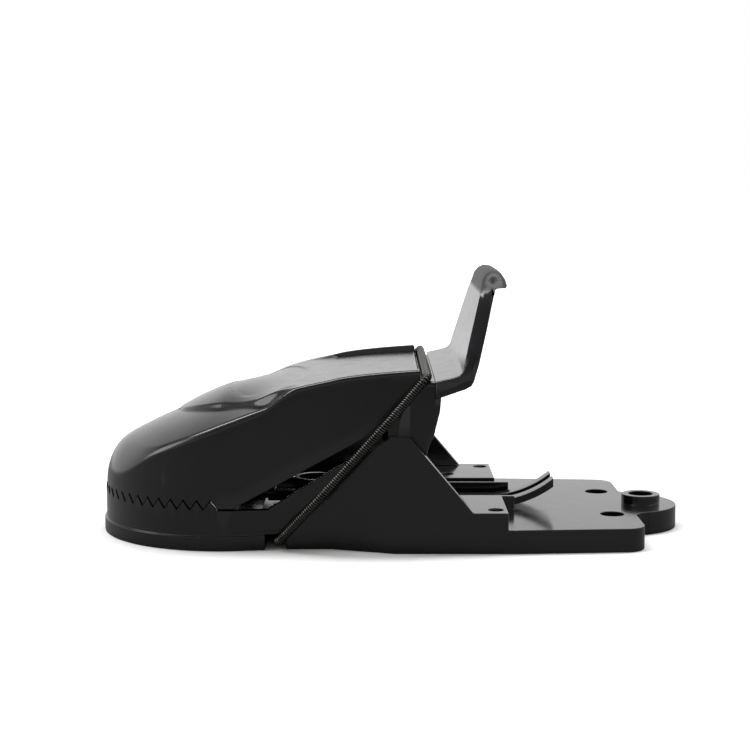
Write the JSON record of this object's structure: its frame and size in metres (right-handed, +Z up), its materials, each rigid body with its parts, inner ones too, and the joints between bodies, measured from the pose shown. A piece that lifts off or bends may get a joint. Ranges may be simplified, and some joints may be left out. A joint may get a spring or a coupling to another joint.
{
  "type": "snap mouse trap",
  "caption": "Clam-shell snap trap: toothed domed jaw with a setting handle, a looped coil spring and a pedal trigger on a flat base plate.",
  "frame": {"origin": "middle of the footprint, on the surface that the trap stands on", "axes": "+Z up; the mouth faces -X and the tongue with the plate holes is at +X; +Y is on the left of someone who faces the mouth from the front"},
  "size_m": [0.1002, 0.05, 0.0456],
  "materials": {
    "black_moulding": "glossy moulded ABS",
    "spring_steel": "oil-blackened spring wire, close wound",
    "pin_steel": "bright drawn wire"
  },
  "bodies": {
    "base": {"base": "black_moulding", "trigger_pin": "pin_steel", "spring_bottom": "spring_steel"},
    "upper_jaw": {"upper_jaw": "black_moulding", "setting_handle": "black_moulding", "spring_top": "spring_steel"},
    "trigger": {"trigger": "black_moulding"},
    "bait_cup": {"bait_cup": "black_moulding"},
    "spring_lower": {"spring_lower_left": "spring_steel", "spring_lower_right": "spring_steel"},
    "spring_upper": {"spring_upper_left": "spring_steel", "spring_upper_right": "spring_steel"}
  },
  "joints": [
    {"name": "jaw_hinge", "type": "hinge", "parent": "base", "child": "upper_jaw", "pos_m": [0.0024, 0, 0.0095], "axis": [0, 1, 0], "range_deg": [0, 59.4], "stiffness_Nm_per_rad": 0.05, "springref_deg": -22.92},
    {"name": "trigger_hinge", "type": "hinge", "parent": "base", "child": "trigger", "pos_m": [-0.004, 0, 0.0046], "axis": [0, 1, 0], "range_deg": [-3.3, 0]},
    {"name": "bait_cup_slide", "type": "slide", "parent": "base", "child": "bait_cup", "axis": [0, 0, -1], "range_m": [0, 0.009]},
    {"name": "spring_swing", "type": "hinge", "parent": "base", "child": "spring_lower", "pos_m": [-0.0186, 0, 0.0015], "axis": [0, 1, 0], "range_deg": [0, 27.5], "deforming": ["spring_lower_left", "spring_lower_right"]},
    {"name": "spring_stretch", "type": "slide", "parent": "spring_lower", "child": "spring_upper", "axis": [0.6649, 0, 0.747], "range_m": [0, 0.00551], "deforming": ["spring_upper_left", "spring_upper_right"]}
  ],
  "couplings": [
    {"joint": "spring_swing", "follows": "jaw_hinge", "ratio": 0.46217},
    {"joint": "spring_stretch", "follows": "jaw_hinge", "m_per_rad": 0.005309}
  ]
}
